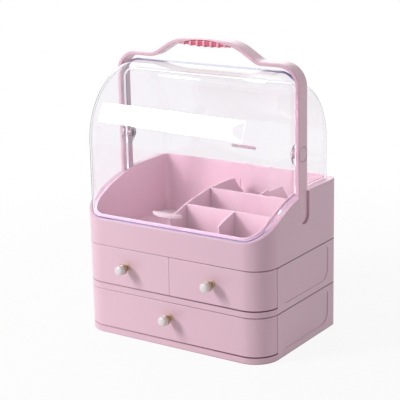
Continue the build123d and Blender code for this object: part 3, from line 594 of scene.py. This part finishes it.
# %% [markdown]
# The front cover's free edge arches over the basin just under the bail, and its cut face shows there
# as a dark lilac line. Seen through the curved wall, the cut face itself is lost, so a thin bead is
# set in the edge: a small rounded section carried along the arch, from just above one pivot to just
# above the other. It is as thick as the wall on the sides, where the rear cover turns half a
# millimetre inside, and grows inwards over the top, where there is room.

# %% Lilac bead in the front cover's edge
ARCH_HALF_SPAN = 132.0 * mm
ARCH_TOP = 350.5 * mm
ARCH_CORNER = 25.0 * mm
ARCH_START_Z = 268.0 * mm
BEAD_Y = 5.4 * mm
BEAD_HALF_DEPTH = 0.45 * mm
BEAD_OUTER_INSET = 0.15 * mm
BEAD_THICKNESS = 1.7 * mm
BEAD_GROWTH = 1.9 * mm
BEAD_POWER = 0.5


def arch_line(inset, bend_steps=40, run_steps=24):
    """Points and outward directions of an arch drawn `inset` inside its outline.

    Two uprights, a level top and two quarter circles: centre plus radius times (cos t, sin t).
    """
    side, top = ARCH_HALF_SPAN - ARCH_CORNER, ARCH_TOP - ARCH_CORNER
    turn = np.linspace(0, pi / 2, bend_steps)
    outward = np.stack([np.cos(turn), np.sin(turn)], 1)
    bend = np.array([side, top]) + (ARCH_CORNER - inset) * outward
    climb = np.linspace(ARCH_START_Z, top, run_steps, endpoint=False)
    upright = np.stack([np.full(run_steps, ARCH_HALF_SPAN - inset), climb], 1)
    level = np.stack([np.linspace(side, 0, run_steps + 1)[1:], np.full(run_steps, ARCH_TOP - inset)], 1)
    points = np.concatenate([upright, bend, level])
    normals = np.concatenate([
        np.tile([1.0, 0.0], (run_steps, 1)), outward, np.tile([0.0, 1.0], (run_steps, 1)),
    ])
    mirror = np.array([-1.0, 1.0])
    points = np.concatenate([points, points[-2::-1] * mirror])
    return points, np.concatenate([normals, normals[-2::-1] * mirror])


arch, outward = arch_line(BEAD_OUTER_INSET)
rise = np.clip((outward[:, 1:] - 0.3) / 0.5, 0.0, 1.0)
thickness = BEAD_THICKNESS + BEAD_GROWTH * rise * rise * (3 - 2 * rise)
section_out, section_y = rounded_section(np.linspace(0, 2 * pi, 12, endpoint=False), BEAD_POWER)
across = thickness * (section_out - 1) / 2
along_y = BEAD_Y + BEAD_HALF_DEPTH * section_y
bead_points = np.stack([
    arch[:, :1] + outward[:, :1] * across, np.broadcast_to(along_y, across.shape),
    arch[:, 1:] + outward[:, 1:] * across,
], axis=-1)
lilac_edge = moulded_plastic(
    "lilac_cut_edge", linear(70, 68, 146), linear(62, 60, 136), linear(96, 92, 172), 0.5,
)
bead = mesh_piece("front_cover_edge_bead", bead_points, lilac_edge, "front_cover_body")

# %% [markdown]
# ## The grip
#
# The hand holds a soft red insert under the middle of the bail. In front view it is a lens between
# two arcs, and seven ribs divide it into cells that sink a little between them. One closed surface
# gives the lot: along the grip the section is a rounded rectangle, and its size swells at each rib.

# %% Grip surface
GRIP_HALF_LENGTH = 39.3 * mm
GRIP_TOP = 381.9 * mm
GRIP_END_DROP = 6.9 * mm
GRIP_BOTTOM_DROP = 9.6 * mm
GRIP_HALF_DEPTH = 10.45 * mm
GRIP_CENTRE_Y = 7.5 * mm
RIB_PITCH = 10.4 * mm
RIB_COUNT = 7
RIB_HALF_WIDTH = 1.1 * mm
RIB_FLANK = 1.2 * mm
CELL_DEPTH = 0.9 * mm
GRIP_POWER = 0.4


def arc_height(x, half_span, end_z, crown_z):
    """Height of a circular arc through two ends and a crown: centre plus the root of r2 - x2."""
    rise = crown_z - end_z
    radius = (half_span**2 + rise**2) / (2 * abs(rise))
    drop = radius - np.sqrt(np.maximum(radius**2 - x**2, 0.0))
    return crown_z - np.sign(rise) * drop


def ribbed_grip(along=361, around=72):
    """Points of the grip and the rib value at each of them.

    A section at x is a superellipse in y and z. Its half depth and half height shrink
    by the cell depth times one minus the rib value, and that value is a flat-topped bump around
    each rib: a smoothstep of the distance to the nearest rib centre.
    """
    x = GRIP_HALF_LENGTH * np.sin(np.linspace(-pi / 2, pi / 2, along))[:, None]
    across, upright = rounded_section(np.linspace(0, 2 * pi, around, endpoint=False)[None, :], GRIP_POWER)
    end_z = GRIP_TOP - GRIP_END_DROP
    top = arc_height(x, GRIP_HALF_LENGTH, end_z, GRIP_TOP)
    bottom = arc_height(x, GRIP_HALF_LENGTH, end_z, GRIP_TOP - GRIP_BOTTOM_DROP)
    offset = np.abs((x / RIB_PITCH + RIB_COUNT / 2) % 1.0 - 0.5) * RIB_PITCH
    step = np.clip((offset - RIB_HALF_WIDTH) / RIB_FLANK, 0.0, 1.0)
    rib = 1.0 - step * step * (3 - 2 * step)
    half_height = np.maximum((top - bottom) / 2, 0.02 * mm)
    sink = np.minimum(CELL_DEPTH * (1 - rib), half_height * 0.5)
    y = GRIP_CENTRE_Y + (GRIP_HALF_DEPTH - sink) * across
    z = (top + bottom) / 2 + (half_height - sink * (upright < 0)) * upright
    points = np.stack([np.broadcast_to(x, y.shape), y, z], axis=-1)
    return points, np.broadcast_to(rib, y.shape)


# %% Grip material and piece
red, red_tree, red_shader, red_place = new_material("red_grip_rubber", Coat_Weight=0.15, Coat_Roughness=0.3)
rib_value = add_node(red_tree, "Attribute", attribute_name="rib").outputs["Fac"]
red_skin = place_group(red_tree, skin_group, Vector=red_place, Grain_Size=1400.0, Wave_Size=60.0)
cell_colour = blend_colours(red_tree, red_skin.outputs["Cloud"], linear(226, 92, 122), linear(214, 78, 108))
red_tree.links.new(
    blend_colours(red_tree, rib_value, cell_colour, linear(248, 184, 198)), red_shader.inputs["Base Color"],
)
red_tree.links.new(remap(red_tree, red_skin.outputs["Grain"], 0.38, 0.52), red_shader.inputs["Roughness"])
red_bump = add_node(red_tree, "Bump", {
    "Strength": 0.4, "Distance": 0.0005, "Height": red_skin.outputs["Height"],
})
red_tree.links.new(red_bump.outputs["Normal"], red_shader.inputs["Normal"])

grip_points, grip_rib = ribbed_grip()
grip_piece = mesh_piece("grip_pad", grip_points, red, "case", {"rib": grip_rib})
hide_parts("grip_insert")

# %% [markdown]
# ## The knobs
#
# Each knob is turned: an ivory barrel with a rounded nose sits in a champagne gold cup, which
# narrows to a waist and stands on a small foot. A turned part is one profile of radius against
# depth, carried round its axis, so one function makes both pieces of all three knobs.

# %% Turned profiles
KNOB_FRONT_Y = -92.0 * mm
NECK_LENGTH = 12.5 * mm
HEAD_LENGTH = 8.5 * mm
HEAD_RADIUS = 6.5 * mm
CUP_RADIUS = 6.75 * mm
CUP_START, CUP_END = 1.8 * mm, 11.0 * mm
RIM_SHARE, RIM_TURN_IN = 0.07, 0.1
WAIST_RADIUS = 3.3 * mm
FOOT_RADIUS = 4.4 * mm
FOOT_START, FOOT_END = 0.8 * mm, 2.2 * mm
NOSE_LENGTH, BACK_LENGTH = 3.6 * mm, 1.2 * mm
HEAD_POWER = 2.3
POLE_RADIUS = 0.05 * mm


def smooth_rise(value, start, end):
    """Smooth step from 0 at `start` to 1 at `end`: 3 t2 - 2 t3."""
    t = np.clip((value - start) / (end - start), 0.0, 1.0)
    return t * t * (3 - 2 * t)


def neck_profile(rows=64):
    """Depth and radius of the gold neck.

    The waist's radius, plus a foot that fades out by a smooth step, plus a cup that swells by
    another. The last of the cup turns in by a quarter ellipse, which rounds its rim.
    """
    depth = NECK_LENGTH * np.linspace(0, 1, rows)
    foot = (FOOT_RADIUS - WAIST_RADIUS) * (1 - smooth_rise(depth, FOOT_START, FOOT_END))
    cup = (CUP_RADIUS - WAIST_RADIUS) * smooth_rise(depth, CUP_START, CUP_END)
    rim = np.clip((depth / NECK_LENGTH - 1 + RIM_SHARE) / RIM_SHARE, 0.0, 1.0)
    return depth, (WAIST_RADIUS + foot + cup) * (1 - RIM_TURN_IN + RIM_TURN_IN * np.sqrt(1 - rim**2))


def head_profile(rows=72):
    """Depth and radius of the ivory head: a barrel between two superellipse ends.

    The share s runs from 0 where an end's rounding starts to 1 at the end itself, and the radius
    there is the full one times (1 - s to the power p) to the power 1 / p.
    """
    turn = np.linspace(0, pi, rows)
    depth = HEAD_LENGTH * (1 - np.cos(turn)) / 2
    nose = np.clip((depth - HEAD_LENGTH + NOSE_LENGTH) / NOSE_LENGTH, 0.0, 1.0)
    back_end = np.clip((BACK_LENGTH - depth) / BACK_LENGTH, 0.0, 0.9)
    narrowing = ((1 - nose**HEAD_POWER) * (1 - back_end**HEAD_POWER)) ** (1 / HEAD_POWER)
    return NECK_LENGTH + depth, np.maximum(HEAD_RADIUS * narrowing, POLE_RADIUS)


def turned_piece(name, profile, knob_x, knob_z, material, body, around=64):
    """Carry a profile round a knob's axis: x = r cos t, z = r sin t, y = -depth."""
    depth, radius = profile
    turn = np.linspace(0, 2 * pi, around, endpoint=False)[None, :]
    points = np.stack([
        knob_x + radius[:, None] * np.cos(turn),
        np.broadcast_to(KNOB_FRONT_Y - depth[:, None], (depth.size, around)),
        knob_z + radius[:, None] * np.sin(turn),
    ], axis=-1)
    return mesh_piece(name, points, material, body)


# %% Knob pieces
knob_places = {"left": (-65.0, 96.5), "right": (65.0, 96.5), "bottom": (0.0, 40.0)}
for drawer, (knob_x, knob_z) in knob_places.items():
    body = drawer + "_drawer_body"
    neck = turned_piece(drawer + "_neck_turned", neck_profile(), knob_x * mm, knob_z * mm, gold, body)
    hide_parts(drawer + "_knob_neck")
    head = turned_piece(drawer + "_head_turned", head_profile(), knob_x * mm, knob_z * mm, knob_white, body)
    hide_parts(drawer + "_knob_head")

# %% [markdown]
# ## The lip between the small drawers
#
# The fronts of the two small drawers meet at the middle, where the real left front carries a thin
# lip that all but closes the gap, so only a faint line shows. The lip is a narrow upright blade: a
# superellipse section in plan, carried up the height of the fronts and closed at both ends.

# %% Closing lip
LIP_MIDDLE_X, LIP_HALF_WIDTH = -0.12 * mm, 0.27 * mm
LIP_MIDDLE_Y, LIP_HALF_DEPTH = -90.0 * mm, 1.75 * mm
LIP_LOW, LIP_HIGH = 70.2 * mm, 119.2 * mm
LIP_POWER = 0.4
lip_x, lip_y = rounded_section(np.linspace(0, 2 * pi, 24, endpoint=False), LIP_POWER)
lip_rise = np.linspace(LIP_LOW, LIP_HIGH, 30)[:, None]
lip_points = np.stack(np.broadcast_arrays(
    LIP_MIDDLE_X + LIP_HALF_WIDTH * lip_x, LIP_MIDDLE_Y + LIP_HALF_DEPTH * lip_y, lip_rise,
), axis=-1)
lip_piece = mesh_piece("left_front_closing_lip", lip_points, pink_drawer, "left_drawer_body")

# %% [markdown]
# ## Dressing the CAD nodes
#
# Most solids already have the right shape, so they keep it and only get a finish. One table says
# which material each of the record's slots takes. Three finishes are finer than the slots: the front
# cover has its own edge colours, and the bail and the bosses theirs.

# %% Assign materials
slot_materials = {
    "pink_case": pink_case, "pink_drawer": pink_drawer, "pale_tab": pale_tab, "white_knob": knob_white,
    "gold_neck": gold, "steel_screw": steel, "red_grip": red, "clear_cover": clear_rear,
}
for part in frame["record"]["subparts"]:
    node = nodes[part["node"]]
    for index in range(len(node.material_slots)):
        node.material_slots[index].material = slot_materials[part["material_slot"]]
nodes["front_cover"].material_slots[0].material = clear_front
for name in ("bail", "pivot_cap_left", "pivot_cap_right"):
    nodes[name].material_slots[0].material = pink_bail
for name in ("hub_cap_left", "hub_cap_right"):
    nodes[name].material_slots[0].material = clear_boss
print("dressed", len(nodes), "nodes in", len(slot_materials), "finishes")

# %% [markdown]
# ## Floor and backdrop
#
# The photograph has a white sweep, so the floor is white to the camera and to the rays that glass
# and metal send out, and keeps only a share of its own shading, enough for a soft shadow. The
# world does the same: white to the eye and to reflections, and a plain grey light on the object.
# More light would whiten the floor as well, but it would wash out the pink. One helper tells which
# rays see the sweep itself.

# %% Floor
FLOOR_HALF = 12.0
NEAR_GLOW, FAR_GLOW = 0.9, 1.0
GLOW_START, GLOW_END = 0.25, 0.9


def seen_directly(tree):
    """1 for camera, glossy and transmission rays, and 0 for all others."""
    rays = add_node(tree, "LightPath").outputs
    seen = rays["Is Camera Ray"]
    for label in ("Is Glossy Ray", "Is Transmission Ray"):
        seen = add_node(tree, "Math", {0: seen, 1: rays[label]}, operation="ADD", use_clamp=True).outputs[0]
    return seen


floor_mesh = bpy.data.meshes.new("floor")
floor_corners = FLOOR_HALF * np.array([[-1, -1, 0], [1, -1, 0], [1, 1, 0], [-1, 1, 0]], dtype=float)
floor_mesh.from_pydata(floor_corners, [], [[0, 1, 2, 3]])
floor = bpy.data.objects.new("floor", floor_mesh)
bpy.context.collection.objects.link(floor)
floor_material, floor_tree, floor_shader, floor_place = new_material("white_sweep", Roughness=0.8)
floor_shader.inputs["Base Color"].default_value = (0.88, 0.87, 0.88, 1.0)
floor_glow = add_node(floor_tree, "Emission", {"Color": PLAIN_WHITE, "Strength": 1.0})
from_case = add_node(floor_tree, "VectorMath", {0: floor_place}, operation="LENGTH")
glow_near_far = add_node(floor_tree, "MapRange", {
    "Value": from_case.outputs["Value"], "From Min": GLOW_START, "From Max": GLOW_END,
    "To Min": NEAR_GLOW, "To Max": FAR_GLOW,
}, interpolation_type="SMOOTHSTEP")
glow_share = add_node(floor_tree, "Math", {
    0: seen_directly(floor_tree), 1: glow_near_far.outputs["Result"],
}, operation="MULTIPLY")
floor_mix = add_node(floor_tree, "MixShader", {
    0: glow_share.outputs[0], 1: floor_shader.outputs["BSDF"], 2: floor_glow.outputs["Emission"],
})
floor_tree.links.new(floor_mix.outputs["Shader"], floor_tree.nodes["Material Output"].inputs["Surface"])
floor_mesh.materials.append(floor_material)
print("floor", 2 * FLOOR_HALF, "m wide")

# %% World
AMBIENT_COLOUR = (1.0, 0.945, 0.97, 1.0)
AMBIENT_STRENGTH = 0.26
world = bpy.data.worlds.new("studio")
bpy.context.scene.world = world
world.use_nodes = True
world_tree = world.node_tree
ambient = world_tree.nodes["Background"]
ambient.inputs["Color"].default_value = AMBIENT_COLOUR
ambient.inputs["Strength"].default_value = AMBIENT_STRENGTH
white_wall = add_node(world_tree, "Background", {"Color": PLAIN_WHITE, "Strength": 1.0})
world_mix = add_node(world_tree, "MixShader", {
    0: seen_directly(world_tree), 1: ambient.outputs["Background"], 2: white_wall.outputs["Background"],
})
world_tree.links.new(world_mix.outputs["Shader"], world_tree.nodes["World Output"].inputs["Surface"])
print("world", world.name, "with ambient light", AMBIENT_STRENGTH)

# %% [markdown]
# ## Lamps
#
# The key is a tall softbox at the front left. A clear cover is a mirror as well as a window, so the
# softbox's place was worked out backwards, from the white band that it throws on the front cover.
# Two small strips were placed in the same way, from the two short glints at the cover's top. The
# fills lighten the top and the right side, and are kept out of reflections, where the photograph
# shows nothing. A panel behind gives the bail and the cover's edge their sheen.

# %% Lamps
def softbox(name, centre, across, upward, width, height, power):
    """A rectangular lamp from its centre and the directions of its width and its height.

    It shines along minus the cross product of the two.
    """
    data = bpy.data.lights.new(name, "AREA")
    data.shape = "RECTANGLE"
    data.size, data.size_y = width, height
    data.energy = power
    lamp = bpy.data.objects.new(name, data)
    bpy.context.collection.objects.link(lamp)
    x_axis = np.array(across) / np.linalg.norm(across)
    z_axis = np.cross(x_axis, upward)
    z_axis /= np.linalg.norm(z_axis)
    lamp.matrix_world = placed(x_axis, np.cross(z_axis, x_axis), z_axis, centre)
    return lamp


softbox(
    "key_softbox", (-1.336, -1.667, 1.318), (0.949, 0.015, -0.315), (0.196, 0.755, 0.626),
    width=0.625, height=1.143, power=57.0,
)
softbox(
    "left_strip", (-0.82, 0.42, 1.433), (0.613, 0.776, 0.149), (-0.03, 0.935, -0.353),
    width=0.065, height=0.078, power=0.25,
)
softbox(
    "right_strip", (-0.659, 0.623, 1.444), (0.796, 0.591, 0.13), (-0.029, 0.88, -0.475),
    width=0.044, height=0.089, power=0.2,
)
top_fill = softbox(
    "top_fill", (0.1, 0.2, 1.7), (1.0, 0.0, 0.0), (0.0, 1.0, 0.0), width=1.2, height=0.9, power=2.5,
)
side_fill = softbox(
    "side_fill", (1.5, 0.75, 0.7), (-0.45, 0.9, 0.0), (0.0, 0.0, 1.0), width=1.0, height=1.0, power=3.5,
)
for lamp in (top_fill, side_fill):
    lamp.visible_glossy = False
    lamp.visible_transmission = False
back_panel = softbox(
    "back_panel", (-0.85, 1.35, 0.85), (-0.85, -0.53, 0.0), (0.2, -0.32, 0.92),
    width=1.6, height=0.7, power=3.5,
)
back_panel.visible_camera = False
back_panel.visible_transmission = False
print("lamps:", [lamp.name for lamp in bpy.data.lights])
